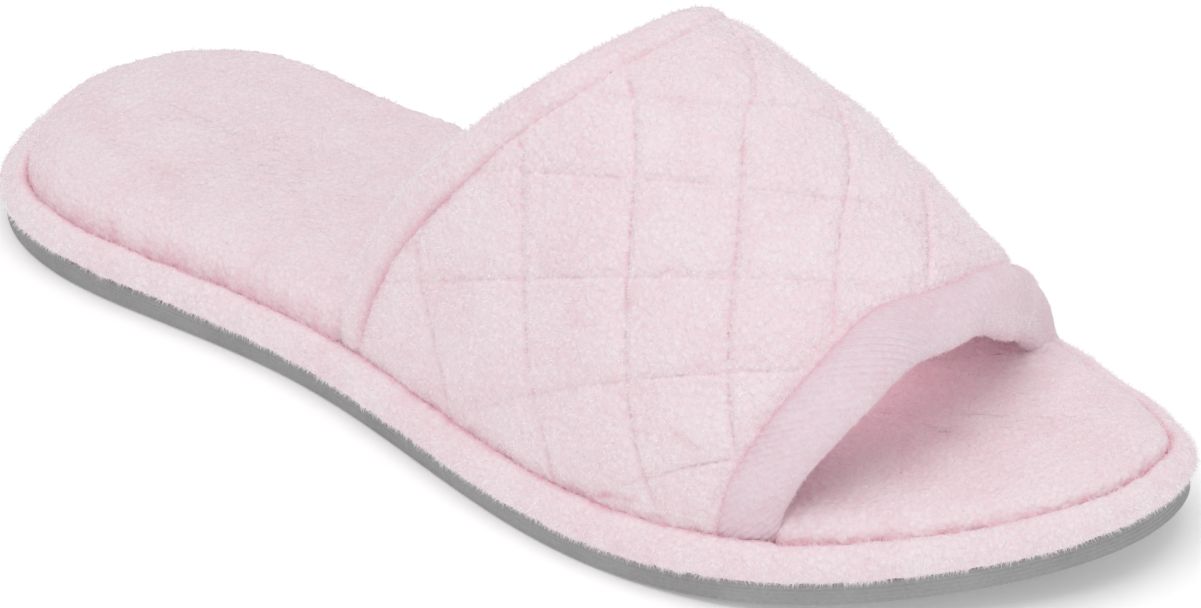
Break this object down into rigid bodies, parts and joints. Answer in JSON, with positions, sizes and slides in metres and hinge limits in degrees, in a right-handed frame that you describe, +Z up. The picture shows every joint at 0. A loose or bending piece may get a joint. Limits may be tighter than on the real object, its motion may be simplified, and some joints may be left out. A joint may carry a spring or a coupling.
{
  "type": "scuff slipper",
  "caption": "Open-toe terry scuff slipper with a quilted upper, bound throat and toe edges, a padded footbed and a flat grey outsole.",
  "frame": {"origin": "middle of the slipper's plan, on the plane that its sole stands on", "axes": "+X from heel to toe, +Y towards the inner side of the foot, +Z up"},
  "size_m": [0.2658, 0.0978, 0.0791],
  "materials": {
    "outsole_grey": "matt textured rubber, pale grey",
    "terry_pink": "soft looped terry, pale pink",
    "footbed_terry": "soft looped terry over foam, pale pink",
    "quilted_terry": "padded terry quilted in diamonds, pale pink",
    "binding_terry": "folded knit binding, pale lavender pink"
  },
  "bodies": {
    "root": {"outsole": "outsole_grey", "midsole_wrap": "terry_pink", "footbed": "footbed_terry", "upper": "quilted_terry", "throat_binding": "binding_terry", "toe_binding": "binding_terry"}
  },
  "joints": []
}
